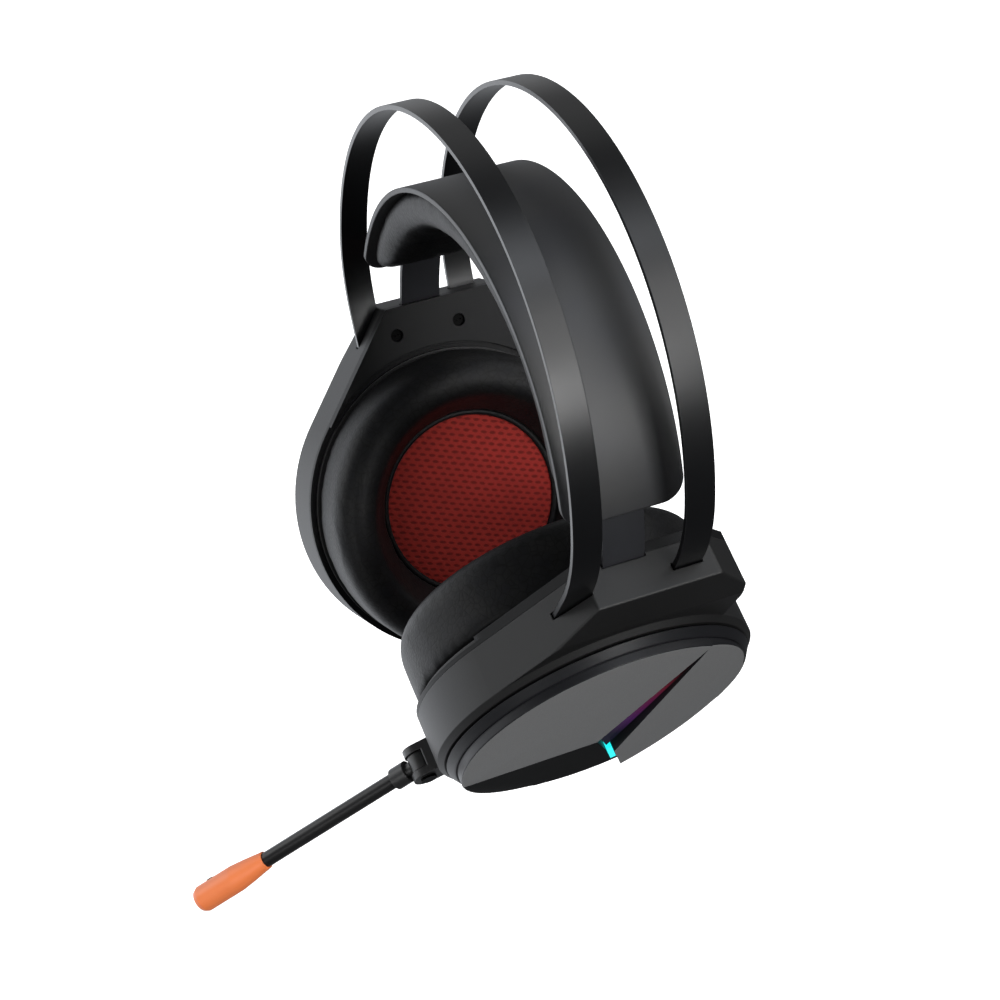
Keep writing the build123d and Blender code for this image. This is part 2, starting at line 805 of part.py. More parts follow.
def make_head_pad():
    """Skin, core with the straps let into it, cushion, straps and rivets."""
    skin = pad_layer(pad_radius, pad_skin, pad_half_angle, pad_width, pad_corner)
    core_out = pad_radius - pad_skin - snug
    core = pad_layer(core_out, pad_core, pad_half_angle - 1.5, pad_width - 2.4, pad_corner - 1)
    cushion_out = core_out - pad_core - fit_gap / 2
    cushion = pad_layer(cushion_out, pad_cushion, pad_half_angle - 2, pad_width - 2, pad_corner)
    room = strap(snug)
    core -= room + mirror(room, about=mirror_plane)
    left_strap = strap()
    turn = math.radians(90 - strap_grip_angle - 6)
    rivets = []
    for side in (-1, 1):
        place = Plane(
            origin=(
                strap_x * math.cos(turn),
                side * rivet_spacing / 2,
                pad_centre_z + strap_x * math.sin(turn),
            ),
            z_dir=(math.cos(turn), 0, math.sin(turn)),
        )
        low = strap_x - core_out + strap_thickness - pad_core
        rivets.append(place * disc(rivet_radius, low, strap_thickness / 2))
        hole = place * disc(rivet_radius + snug, -5, strap_thickness)
        left_strap -= hole
        core -= hole + mirror(hole, about=mirror_plane)
    rivets += [mirror(rivet, about=mirror_plane) for rivet in rivets]
    return {
        "pad_skin": skin,
        "pad_core": core,
        "pad_cushion": cushion,
        "left_strap": left_strap,
        "right_strap": mirror(left_strap, about=mirror_plane),
        "pad_rivets": Compound(rivets),
    }


parts = {"front_hoop": hoop(-1), "rear_hoop": hoop(1)}
for name, shape in make_cup().items():
    parts["left_" + name] = shape
    parts["right_" + name] = mirror(shape, about=mirror_plane)
cable_grommet, grommet_hole = make_cable_inlet()
parts["left_shell"] -= grommet_hole
parts["cable_grommet"] = cable_grommet
parts["left_amp_board"] = cup_plane * make_amp_board()
parts.update(make_microphone())
parts.update(make_head_pad())

os.makedirs("parts", exist_ok=True)
for name, shape in parts.items():
    export_step(shape, os.path.join("parts", name + ".step"))
print(len(parts), "nodes written")
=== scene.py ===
import json
import math

import bmesh
import bpy
from mathutils import Matrix, Vector


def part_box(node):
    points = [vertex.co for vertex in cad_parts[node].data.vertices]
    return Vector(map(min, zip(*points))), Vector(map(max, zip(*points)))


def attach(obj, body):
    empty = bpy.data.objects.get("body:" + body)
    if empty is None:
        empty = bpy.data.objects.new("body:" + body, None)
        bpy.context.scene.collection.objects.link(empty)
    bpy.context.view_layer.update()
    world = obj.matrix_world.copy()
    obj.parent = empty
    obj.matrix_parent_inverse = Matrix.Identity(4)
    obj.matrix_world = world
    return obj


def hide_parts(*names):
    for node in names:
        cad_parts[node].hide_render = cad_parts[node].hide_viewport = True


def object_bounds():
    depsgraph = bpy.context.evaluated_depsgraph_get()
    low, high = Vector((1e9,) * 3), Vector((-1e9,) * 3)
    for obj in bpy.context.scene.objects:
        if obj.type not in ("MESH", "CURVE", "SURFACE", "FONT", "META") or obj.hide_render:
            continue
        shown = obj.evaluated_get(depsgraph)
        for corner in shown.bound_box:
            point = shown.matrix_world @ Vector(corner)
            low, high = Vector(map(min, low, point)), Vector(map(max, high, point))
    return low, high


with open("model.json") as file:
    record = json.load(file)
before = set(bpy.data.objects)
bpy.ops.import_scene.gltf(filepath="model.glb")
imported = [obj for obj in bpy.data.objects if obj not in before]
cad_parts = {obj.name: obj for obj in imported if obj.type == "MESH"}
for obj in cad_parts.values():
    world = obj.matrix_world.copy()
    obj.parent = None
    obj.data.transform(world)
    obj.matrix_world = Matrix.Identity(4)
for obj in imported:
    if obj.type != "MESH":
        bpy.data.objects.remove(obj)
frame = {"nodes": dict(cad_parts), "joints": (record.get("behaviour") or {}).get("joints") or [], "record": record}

# Finishes and soft parts of a gaming headset. Metres, in the part's own frame:
# +X the wearer's left, +Y the back of the head, +Z up.

cad_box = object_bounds()
nodes = frame["nodes"]
mm = 0.001


# ---------------------------------------------------------------- the ear cups

# Each cup has directions of its own: v runs back, w up along the tilted cup and
# u outwards along its axis, with u = 0 where the shell meets the inner plate.
swing = next(joint for joint in frame["joints"] if joint["name"] == "mic_swing")
cup_axis = -Vector(swing["axis"])
board_middle = sum(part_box("left_light_board"), Vector()) / 2
board_height = 17.1 * mm
cup_centre = board_middle - cup_axis * board_height
cup_up = cup_axis.cross(Vector((0, 1, 0)))
left_cup = Matrix.Translation(cup_centre) @ Matrix(
    ((0, cup_up.x, cup_axis.x), (1, cup_up.y, cup_axis.y), (0, cup_up.z, cup_axis.z))
).to_4x4()
cup_places = {"left": left_cup, "right": Matrix.Diagonal((-1, 1, 1, 1)) @ left_cup}

# Ear cushion, from the cup's axis
cushion_radius = 47.6 * mm
cushion_foot = -2.7 * mm
cushion_top = -26.0 * mm
cushion_round = 8.5 * mm
crest_radius = 38.5 * mm
mouth_radius = 32.5 * mm
lip_radius = 27.5 * mm
lip_height = -10.9 * mm
seat_radius = 30.2 * mm
cushion_shrink = 1.1 * mm

# Ear mesh
mesh_radius = 27.9 * mm
mesh_rim_height = -10.3 * mm
mesh_dome = 1.6 * mm
cloth_thickness = 0.5 * mm
piping_radius = 1.0 * mm

# Slit between the face plates
slit_tip = Vector((23.2, 35.4, 20.0)) * mm
slit_foot = Vector((4.0, -19.0, 20.0)) * mm

# Head pad, an arc about an axis along y
skin_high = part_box("pad_skin")[1]
pad_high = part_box("pad_cushion")[1]
pad_half_angle = math.radians(78)
pad_radius = skin_high.x / math.sin(pad_half_angle)
pad_axis_height = skin_high.z - pad_radius
pad_seat_radius = pad_high.z - pad_axis_height
pad_thickness = 9.0 * mm
skin_thickness = 1.55 * mm
pad_end_angle = pad_half_angle - math.radians(2)
pad_corner = 6.5 * mm
pad_shrink = 1.0 * mm


# ------------------------------------------------------------------- materials


class Value:
    """A node's output. Sums and products of values add the Math nodes they need."""

    def __init__(self, tree, socket):
        self.tree = tree
        self.socket = socket

    def maths(self, operation, *others):
        sockets = dict(enumerate((self, *others)))
        return new_node(self.tree, "Math", {"operation": operation}, sockets)

    def __add__(self, other):
        return self.maths("ADD", other)

    def __mul__(self, other):
        return self.maths("MULTIPLY", other)

    def __sub__(self, other):
        return self.maths("SUBTRACT", other)

    def __rsub__(self, other):
        return (self * -1) + other

    def __truediv__(self, other):
        return self.maths("DIVIDE", other)

    def __pow__(self, other):
        return self.maths("POWER", other)

    def __mod__(self, other):
        return self.maths("FLOORED_MODULO", other)

    def __abs__(self):
        return self.maths("ABSOLUTE")

    __radd__ = __add__
    __rmul__ = __mul__

    def clamped(self):
        return self.maths("MAXIMUM", 0.0).maths("MINIMUM", 1.0)

    def eased(self, low, high):
        """0 below low and 1 above high, with a soft step between."""
        share = ((self - low) / (high - low)).clamped()
        return share * share * (3.0 - 2.0 * share)


def connect(tree, value, place):
    if isinstance(value, Value):
        tree.links.new(value.socket, place)
    else:
        place.default_value = value


def set_stops(ramp, stops):
    while len(ramp.elements) < len(stops):
        ramp.elements.new(0.5)
    for element, (position, colour) in zip(ramp.elements, stops):
        element.position = position
        element.color = colour


def new_node(tree, kind, settings=None, sockets=None, output=0):
    """One node: its settings first, then the values or links of its sockets."""
    made = tree.nodes.new("ShaderNode" + kind)
    for name, value in (settings or {}).items():
        if name == "stops":
            set_stops(made.color_ramp, value)
        else:
            setattr(made, name, value)
    for name, value in (sockets or {}).items():
        connect(tree, value, made.inputs[name])
    return Value(tree, made.outputs[output])


class Finish:
    """A material on one Principled shader."""

    def __init__(self, name, **uniform):
        self.material = bpy.data.materials.new(name)
        self.material.use_nodes = True
        self.tree = self.material.node_tree
        self.shader = self.tree.nodes["Principled BSDF"]
        for socket, value in uniform.items():
            self.shader.inputs[socket.replace("_", " ")].default_value = value

    def node(self, kind, settings=None, sockets=None, output=0):
        return new_node(self.tree, kind, settings, sockets, output)

    def place(self):
        return self.node("TexCoord", output="Object")

    def noise(self, size, detail=2.0, roughness=0.5, at=None):
        """Soft noise whose features are about this size."""
        sockets = {
            "Vector": at or self.place(),
            "Scale": 1 / size,
            "Detail": detail,
            "Roughness": roughness,
        }
        return self.node("TexNoise", {}, sockets)

    def cells(self, size, feature="F1", smooth=None):
        """Distance within cells of about this size."""
        settings = {"feature": feature}
        sockets = {"Vector": self.place(), "Scale": 1 / size}
        if smooth is not None:
            sockets["Smoothness"] = smooth
        return self.node("TexVoronoi", settings, sockets, "Distance")

    def blend(self, share, first, second):
        settings = {"data_type": "RGBA"}
        sockets = {0: share, 6: first, 7: second}
        return self.node("Mix", settings, sockets, 2)

    def soft_edges(self, radius):
        """The normal as if every edge were rounded to this radius."""
        return self.node("Bevel", {"samples": 6}, {"Radius": radius})

    def bump(self, height, depth, normal=None):
        sockets = {"Height": height, "Distance": depth}
        if normal is not None:
            sockets["Normal"] = normal
        return self.node("Bump", {}, sockets)

    def set(self, **sockets):
        for name, value in sockets.items():
            connect(self.tree, value, self.shader.inputs[name.replace("_", " ")])
        return self.material

    def painted_edge_highlight(self, rounded):
        """1 on edges and 0 on flats, from how far the rounded normal leans: the mask for the highlight painted
        along edges.
        """
        plain = self.node("NewGeometry", output="Normal")
        settings = {"operation": "DOT_PRODUCT"}
        lean = self.node("VectorMath", settings, {0: rounded, 1: plain}, "Value")
        return (1.0 - lean).eased(0.01, 0.2)


def grey(level, tint=(1.0, 1.0, 1.0)):
    """A grey of this level, as a colour, leaning towards a tint."""
    return (level * tint[0], level * tint[1], level * tint[2], 1.0)


cool = (0.94, 0.97, 1.12)


def satin_paint(name, level, tint=(1, 1, 1), gloss=0.36, radius=0.2 * mm, metal=0.0, shine=0.42):
    """Sprayed satin paint: faint orange peel, and a highlight painted along the edges."""
    finish = Finish(name, Metallic=metal, Specular_IOR_Level=shine)
    rounded = finish.soft_edges(radius)
    drift = finish.noise(26 * mm, 3.0)
    peel = finish.noise(0.45 * mm, 2.0)
    body = finish.blend(drift.eased(0.3, 0.7), grey(level * 0.9, tint), grey(level * 1.1, tint))
    # The edge mask paints a brighter highlight along the edges.
    edge = finish.painted_edge_highlight(rounded) * 0.5
    return finish.set(
        Base_Color=finish.blend(edge, body, grey(level * 2.2, tint)),
        Roughness=gloss + 0.05 * drift + 0.05 * peel,
        Normal=finish.bump(peel, 0.006 * mm, rounded),
    )


def moulded_plastic(name, level, tint=(1, 1, 1), gloss=0.52, shine=0.4):
    """Spark-eroded moulded plastic: a fine even grain, and a highlight painted along the edges."""
    grain = 0.35 * mm
    finish = Finish(name, Specular_IOR_Level=shine)
    rounded = finish.soft_edges(0.35 * mm)
    texture = finish.noise(grain, 3.0, 0.6)
    pits = finish.cells(grain * 1.4, "SMOOTH_F1", 0.6)
    drift = finish.noise(30 * mm, 3.0)
    body = finish.blend(drift.eased(0.3, 0.7), grey(level * 0.88, tint), grey(level * 1.12, tint))
    # The edge mask paints a brighter highlight along the edges.
    edge = finish.painted_edge_highlight(rounded) * 0.45
    return finish.set(
        Base_Color=finish.blend(edge, body, grey(level * 1.9, tint)),
        Roughness=gloss - 0.04 + 0.08 * texture,
        Normal=finish.bump(texture + 0.5 * pits, 0.012 * mm, rounded),
    )


def metallic_paint(name, level, metal=0.3, gloss=0.36, shine=0.6):
    """Metallic lacquer: small flakes in a satin film, and a brighter highlight painted along the edges."""
    finish = Finish(name, Specular_IOR_Level=shine, Metallic=metal)
    rounded = finish.soft_edges(0.3 * mm)
    flakes = finish.cells(0.22 * mm)
    drift = finish.noise(18 * mm, 2.0)
    body = finish.blend(flakes.eased(0.1, 0.7), grey(level * 1.12), grey(level * 0.9))
    # The edge mask paints a brighter highlight along the edges.
    edge = finish.painted_edge_highlight(rounded) * 0.5
    return finish.set(
        Base_Color=finish.blend(edge, body, grey(level * 1.8)),
        Roughness=gloss + 0.06 * flakes + 0.04 * drift,
        Normal=finish.bump(flakes, 0.003 * mm, rounded),
    )


def leatherette(name, level):
    """Soft black leatherette: pebbled grain, wider creases with painted shade in them, and a dull surface."""
    grain = 0.9 * mm
    finish = Finish(name, Specular_IOR_Level=0.15)
    bend = finish.noise(6 * mm, 2.0)
    pebble = finish.cells(grain, "SMOOTH_F1", 0.35)
    crease_and_shade = finish.cells(grain * 2.6, "DISTANCE_TO_EDGE").eased(0.0, 0.1)
    fine = finish.noise(0.25 * mm, 3.0)
    height = 0.65 * (1.0 - pebble) + 0.35 * crease_and_shade + 0.12 * fine
    body = finish.blend(bend.eased(0.3, 0.7), grey(level * 0.85, cool), grey(level * 1.15))
    return finish.set(
        # Darker colour in the creases: painted shade.
        Base_Color=finish.blend(crease_and_shade, grey(level * 0.6), body),
        Roughness=0.4 + 0.08 * pebble + 0.06 * bend,
        Normal=finish.bump(height, 0.05 * mm),
    )


def soft_touch(name, level):
    """Smooth soft-touch skin of the head pad."""
    finish = Finish(name, Specular_IOR_Level=0.55)
    rounded = finish.soft_edges(0.7 * mm)
    drift = finish.noise(24 * mm, 3.0)
    grain = finish.noise(0.3 * mm, 3.0, 0.6)
    body = finish.blend(drift.eased(0.3, 0.7), grey(level * 0.9, cool), grey(level * 1.1))
    return finish.set(
        Base_Color=body,
        Roughness=0.46 + 0.06 * drift + 0.04 * grain,
        Normal=finish.bump(grain, 0.01 * mm, rounded),
    )


def ear_cloth(name):
    """Red knitted cloth with staggered rows of small oval holes, from its own UV in mm. The holes are painted
    dark: painted shade.
    """
    finish = Finish(name, Specular_IOR_Level=0.15)
    flat = finish.node("TexCoord", output="UV")
    turned = finish.node("Mapping", {}, {"Vector": flat, "Rotation": (0, 0, math.radians(20))})
    warp = finish.noise(3.0, 2.0, at=flat)
    across = finish.node("SeparateXYZ", {}, {"Vector": turned}, "X") + 1.1 * warp
    along = finish.node("SeparateXYZ", {}, {"Vector": turned}, "Y") + 0.45 * warp
    hole_pitch = 2.9
    row_pitch = 1.75
    row = (along / row_pitch).maths("FLOOR")
    shift = (row % 2.0) * (hole_pitch / 2)
    in_cell = ((across + shift) / hole_pitch).maths("FRACT") - 0.5
    in_row = (along / row_pitch).maths("FRACT") - 0.5
    far = ((in_cell * 1.2) ** 2.0 + (in_row * 1.6) ** 2.0) ** 0.5
    cloth = (far + 0.25 * warp).eased(0.36, 0.68)
    rib = 1.0 - abs(in_row) * 2.0
    thread = finish.noise(0.25, 3.0, at=flat)
    patch = finish.noise(9.0, 3.0, at=flat)
    red = finish.blend(patch, (0.3, 0.022, 0.016, 1), (0.2, 0.015, 0.012, 1))
    red = finish.blend(thread.eased(0.35, 0.75) * 0.4, red, (0.38, 0.05, 0.04, 1))
    height = cloth + 0.35 * rib + 0.25 * thread
    return finish.set(
        # The holes get a dark red: painted shade seen through them.
        Base_Color=finish.blend(cloth, (0.13, 0.011, 0.009, 1), red),
        Roughness=0.78 + 0.12 * thread,
        Normal=finish.bump(height, 0.18 * mm),
    )


def slit_glow(name):
    """Smoked light guide, lit red near the slit's tip and violet to blue at its foot.

    Both cups share it, so the place is mirrored onto the left cup first.
    """
    finish = Finish(name, Emission_Strength=1.0, Specular_IOR_Level=0.02)
    tip = left_cup @ slit_tip
    foot = left_cup @ slit_foot
    along = foot - tip
    mirrored = finish.node("VectorMath", {"operation": "ABSOLUTE"}, {0: finish.place()})
    times = {"operation": "MULTIPLY"}
    sides = finish.node("VectorMath", times, {0: mirrored, 1: (1.0, 0.0, 0.0)})
    kept = finish.node("VectorMath", times, {0: finish.place(), 1: (0.0, 1.0, 1.0)})
    folded = finish.node("VectorMath", {"operation": "ADD"}, {0: sides, 1: kept})
    offset = finish.node("VectorMath", {"operation": "SUBTRACT"}, {0: folded, 1: tip})
    direction = along / along.length_squared
    dot = {"operation": "DOT_PRODUCT"}
    share = finish.node("VectorMath", dot, {0: offset, 1: direction}, "Value")
    stops = [
        (0.0, (0.004, 0.003, 0.004, 1)),
        (0.25, (0.012, 0.002, 0.003, 1)),
        (0.42, (0.085, 0.006, 0.016, 1)),
        (0.58, (0.07, 0.006, 0.04, 1)),
        (0.75, (0.04, 0.008, 0.06, 1)),
        (0.92, (0.006, 0.006, 0.016, 1)),
    ]
    glow = finish.node("ValToRGB", {"stops": stops}, {0: share}, "Color")
    return finish.set(
        Base_Color=finish.blend(share.clamped(), grey(0.002), grey(0.004, cool)),
        Roughness=0.14 + 0.06 * finish.noise(2 * mm),
        Emission_Color=glow,
    )


def status_glow(name):
    """Small cyan light, faintly uneven."""
    finish = Finish(name, Emission_Strength=1.5, Roughness=0.25)
    patch = finish.noise(3 * mm)
    lit = finish.blend(patch, (0.0, 0.62, 0.63, 1), (0.02, 0.78, 0.79, 1))
    return finish.set(Base_Color=finish.blend(patch, grey(0.02), grey(0.03)), Emission_Color=lit)


def orange_plastic(name):
    """Satin orange plastic, faintly mottled."""
    finish = Finish(name, Coat_Weight=0.1, Coat_Roughness=0.35)
    rounded = finish.soft_edges(0.3 * mm)
    drift = finish.noise(8 * mm, 3.0)
    grain = finish.noise(0.3 * mm, 3.0)
    colour = finish.blend(drift, (0.95, 0.22, 0.06, 1), (1.0, 0.27, 0.085, 1))
    return finish.set(
        Base_Color=colour,
        Roughness=0.4 + 0.08 * grain,
        Normal=finish.bump(grain, 0.01 * mm, rounded),
    )


def bare_metal(name, level, gloss):
    """Plated or blackened metal, finely brushed."""
    finish = Finish(name, Metallic=1.0)
    rounded = finish.soft_edges(0.1 * mm)
    brushed = finish.noise(0.3 * mm, 3.0)
    tone = finish.blend(brushed, grey(level * 0.85), grey(level * 1.15))
    return finish.set(
        Base_Color=tone,
        Roughness=gloss + 0.1 * brushed,
        Normal=finish.bump(brushed, 0.004 * mm, rounded),
    )


def circuit_board(name):
    """Green solder mask with paler tracks."""
    finish = Finish(name, Coat_Weight=0.4, Coat_Roughness=0.15)
    tracks = finish.cells(3 * mm, "DISTANCE_TO_EDGE").eased(0.04, 0.07)
    return finish.set(
        Base_Color=finish.blend(tracks, (0.03, 0.16, 0.07, 1), (0.01, 0.07, 0.03, 1)),
        Roughness=0.35 + 0.15 * tracks,
        Normal=finish.bump(1.0 - tracks, 0.03 * mm),
    )


finishes = {
    "hoop_steel": satin_paint("hoop paint", 0.003, cool, gloss=0.26, radius=0.25 * mm),
    "cup_shell": moulded_plastic("shell plastic", 0.006, shine=0.42),
    "cap_ring": satin_paint("cap ring paint", 0.009, cool, shine=0.22),
    "face_plate": metallic_paint("face plate lacquer", 0.24),
    "face_plate_dark": metallic_paint("bottom plate lacquer", 0.004, metal=0.0, gloss=0.5, shine=0.02),
    "slit_glow": slit_glow("slit light guide"),
    "status_glow": status_glow("status light"),
    "circuit_board": circuit_board("solder mask"),
    "driver_metal": bare_metal("plated driver metal", 0.35, 0.3),
    "diaphragm_film": moulded_plastic("diaphragm film", 0.05, gloss=0.3),
    "inner_plastic": moulded_plastic("inner plastic", 0.012),
    "ear_mesh": ear_cloth("ear cloth"),
    "ear_mesh_dark": moulded_plastic("sound port cloth", 0.01, gloss=0.8),
    "cushion_leather": leatherette("cushion leatherette", 0.008),
    "screw_steel": bare_metal("black screw steel", 0.005, 0.5),
    "grommet_rubber": moulded_plastic("grommet rubber", 0.01, gloss=0.7),
    "mic_plastic": moulded_plastic("microphone plastic", 0.014, gloss=0.4, shine=0.6),
    "boom_metal": satin_paint("boom lacquer", 0.014, gloss=0.28, metal=0.2, shine=0.35),
    "capsule_orange": orange_plastic("orange capsule plastic"),
    "pad_skin": soft_touch("pad skin", 0.019),
    "pad_core": moulded_plastic("pad core plastic", 0.01),
    "strap_plastic": satin_paint("strap plastic", 0.02, cool, gloss=0.4, shine=0.45),
}

# The inner plates get a darker, cooler copy of the moulded plastic in place of their slot's finish: painted shade.
shaded_inner_plate_plastic = moulded_plastic("inner plate plastic", 0.003, cool, shine=0.2)

for entry in frame["record"]["subparts"]:
    node = nodes[entry["node"]]
    node.data.materials.clear()
    finish = finishes[entry["material_slot"]]
    node.data.materials.append(shaded_inner_plate_plastic if "inner_plate" in entry["node"] else finish)


# ------------------------------------------------------------ making of pieces


def piece_from(shape, name, slot, body, replaced=(), place=None):
    """A bmesh as a finished piece, turned right side out and riding on a body."""
    if place is not None:
        shape.transform(place)
    bmesh.ops.remove_doubles(shape, verts=shape.verts, dist=1e-6)
    bmesh.ops.recalc_face_normals(shape, faces=shape.faces)
    mesh = bpy.data.meshes.new(name)
    shape.to_mesh(mesh)
    shape.free()
    for polygon in mesh.polygons:
        polygon.use_smooth = True
    mesh.materials.append(finishes[slot])
    piece = bpy.data.objects.new(name, mesh)
    bpy.context.scene.collection.objects.link(piece)
    if replaced:
        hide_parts(*replaced)
    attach(piece, body)
    return piece


def spun(profile, steps=96, closed=True):
    """A profile's points turned all the way round the z axis."""
    shape = bmesh.new()
    points = [shape.verts.new(point) for point in profile]
    pairs = list(zip(points, points[1:]))
    if closed:
        pairs.append((points[-1], points[0]))
    edges = [shape.edges.new(pair) for pair in pairs]
    full_turn = 2 * math.pi
    bmesh.ops.spin(
        shape, geom=points + edges, axis=(0, 0, 1), angle=full_turn, steps=steps, use_merge=True
    )
    bmesh.ops.remove_doubles(shape, verts=shape.verts, dist=1e-6)
    bmesh.ops.recalc_face_normals(shape, faces=shape.faces)
    return shape


def evaluated(piece):
    """The piece with its modifiers worked out."""
    return piece.evaluated_get(bpy.context.evaluated_depsgraph_get())


def stuff(shape, voxel, travel, held):
    """Blows a closed form up like a stuffed cushion, each point moving up to travel.

    held says which points stay.
    """
    pressure = 4.0
    rounds = 20
    mesh = bpy.data.meshes.new("stuffing")
    shape.to_mesh(mesh)
    shape.free()
    form = bpy.data.objects.new("stuffing", mesh)
    bpy.context.scene.collection.objects.link(form)
    remesh = form.modifiers.new("even", "REMESH")
    remesh.mode = "VOXEL"
    remesh.voxel_size = voxel
    even = bpy.data.meshes.new_from_object(evaluated(form))
    form.modifiers.clear()
    form.data = even
    start = [vertex.co.copy() for vertex in even.vertices]
    group = form.vertex_groups.new(name="held")
    group.add([point.index for point in even.vertices if held(point.co)], 1.0, "REPLACE")
    cloth = form.modifiers.new("cloth", "CLOTH")
    cloth.settings.use_pressure = True
    cloth.settings.uniform_pressure_force = pressure
    cloth.settings.effector_weights.gravity = 0.0
    cloth.settings.vertex_group_mass = "held"
    cloth.settings.quality = 6
    cloth.point_cache.frame_end = rounds
    for step in range(1, rounds + 1):
        bpy.context.scene.frame_set(step)
    after = [vertex.co.copy() for vertex in evaluated(form).data.vertices]
    form.modifiers.clear()
    for vertex, old, new in zip(even.vertices, start, after):
        move = new - old
        if move.length > travel:
            move *= travel / move.length
        vertex.co = old + move
    bpy.context.scene.frame_set(1)
    result = bmesh.new()
    result.from_mesh(form.data)
    bpy.data.objects.remove(form)
    every_way = {"use_axis_x": True, "use_axis_y": True, "use_axis_z": True}
    bmesh.ops.smooth_vert(result, verts=result.verts, factor=0.5, **every_way)
    return result


def add_subdivision(piece):
    modifier = piece.modifiers.new("smooth", "SUBSURF")
    modifier.levels = 1
    modifier.render_levels = 1


def arc(centre, radius, start, end, count):
    """Points on an arc in the (radius, height) plane, angles in degrees."""
    points = []
    for step in range(count):
        turn = math.radians(start + (end - start) * step / (count - 1))
        reach = centre[0] + radius * math.cos(turn)
        points.append((reach, 0.0, centre[1] + radius * math.sin(turn)))
    return points


# ------------------------------------------------------------------- face plates

face_radius = 44.15 * mm
plate_foot = 19.8 * mm
edge_margin = 0.3 * mm
wall_lean = 0.2
top_lean = 0.8
dark_lean = 0.75
flat_within = math.radians(0.4)
sharp_from = math.radians(22)
plate_rims = {"front_face": 0.4 * mm, "rear_face": 0.8 * mm, "bottom_face": 1.0 * mm}


def at_the_rim(edge):
    """Whether an edge lies between a plate's top and its wall at the cap's rim."""
    middle = (edge.verts[0].co + edge.verts[1].co) / 2
    if len(edge.link_faces) != 2 or middle.z <= plate_foot + edge_margin:
        return False
    lean = sorted(abs(face.normal.z) for face in edge.link_faces)
    outside = math.hypot(middle.x, middle.y) >= face_radius - edge_margin
    return outside and lean[0] < wall_lean and lean[1] > top_lean


def face_plate(side, name, rim):
    """A face plate that rolls over at the cap's rim, with walls as dark as the cap ring."""
    place = cup_places[side]
    axis = place.to_3x3() @ Vector((0, 0, 1))
    shape = bmesh.new()
    shape.from_mesh(nodes[side + "_" + name].data)
    shape.transform(place.inverted())
    bmesh.ops.remove_doubles(shape, verts=shape.verts, dist=2e-6)
    bmesh.ops.dissolve_limit(shape, angle_limit=flat_within, verts=shape.verts, edges=shape.edges)
    bmesh.ops.recalc_face_normals(shape, faces=shape.faces)
    rolled = [edge for edge in shape.edges if at_the_rim(edge)]
    bmesh.ops.bevel(
        shape,
        geom=rolled,
        offset=rim,
        offset_type="OFFSET",
        affect="EDGES",
        segments=5,
        profile=0.5,
        material=-1,
    )
    slot = "face_plate_dark" if name == "bottom_face" else "face_plate"
    node = side + "_" + name
    piece = piece_from(shape, node + "_plate", slot, "frame", [node], place)
    piece.data.set_sharp_from_angle(angle=sharp_from)
    piece.data.materials.append(finishes["cap_ring"])
    for polygon in piece.data.polygons:
        if abs(polygon.normal.dot(axis)) < dark_lean:
            polygon.material_index = 1


for side in cup_places:
    for name, rim in plate_rims.items():
        face_plate(side, name, rim)


# ------------------------------------------------------------------ ear cushions


def ear_cushion_form():
    """The slack ring before it is stuffed, in the cup's own directions."""
    shrink = cushion_shrink
    outer = cushion_radius - shrink
    top = cushion_top + shrink
    bend = cushion_round - shrink
    inner_bend = (crest_radius - mouth_radius) * 0.8
    profile = [(seat_radius, 0.0, cushion_foot), (outer - 0.4 * mm, 0.0, cushion_foot)]
    profile += [(outer, 0.0, cushion_foot - 2.0 * mm)]
    profile += arc((outer - bend, top + bend), bend, 0, -90, 8)
    inner_centre = (mouth_radius + shrink + inner_bend, top + inner_bend)
    profile += arc(inner_centre, inner_bend, -90, -165, 6)
    profile += [
        (lip_radius + 3.0 * mm, 0.0, lip_height - 5.0 * mm),
        (lip_radius + 0.8 * mm, 0.0, lip_height - 1.4 * mm),
        (lip_radius + 0.3 * mm, 0.0, lip_height),
        (seat_radius, 0.0, lip_height),
    ]
    return spun(profile)


def at_foot(point):
    """Whether a point of the ear cushion is held by the ring that it sits on."""
    reach = math.hypot(point.x, point.y)
    return point.z > cushion_foot - 1.5 * mm or reach < seat_radius + 0.6 * mm


def ear_ring(side, form):
    name = side + "_ear_cushion"
    piece = piece_from(
        form.copy(), name + "_leather", "cushion_leather", "frame", [name], cup_places[side]
    )
    add_subdivision(piece)


def mesh_cloth(side):
    """Domed cloth stretched over the driver, with a flat map in millimetres."""
    count = 20
    profile = []
    for step in range(count):
        share = step / (count - 1)
        rise = mesh_dome * (1 - share**2)
        profile.append((mesh_radius * share, 0.0, mesh_rim_height - rise))
    shape = spun(profile, closed=False, steps=72)
    flat = shape.loops.layers.uv.new("flat")
    for face in shape.faces:
        for loop in face.loops:
            loop[flat].uv = (loop.vert.co.x / mm, loop.vert.co.y / mm)
    bmesh.ops.solidify(shape, geom=shape.faces[:], thickness=cloth_thickness)
    piece = piece_from(
        shape, side + "_ear_cloth", "ear_mesh", "frame", [side + "_ear_mesh"], cup_places[side]
    )


def mesh_piping(side):
    """Leatherette cord where the cloth meets the cushion's inner wall."""
    centre = (mesh_radius - 0.1 * mm, mesh_rim_height - 0.5 * mm)
    ring = spun(arc(centre, piping_radius, 0, 330, 12))
    piece_from(ring, side + "_mesh_piping", "cushion_leather", "frame", (), cup_places[side])


full_ring = stuff(ear_cushion_form(), 2.0 * mm, 1.3 * mm, at_foot)
for side in cup_places:
    ear_ring(side, full_ring)
    mesh_cloth(side)
    mesh_piping(side)
full_ring.free()


# ---------------------------------------------------------------- head cushion


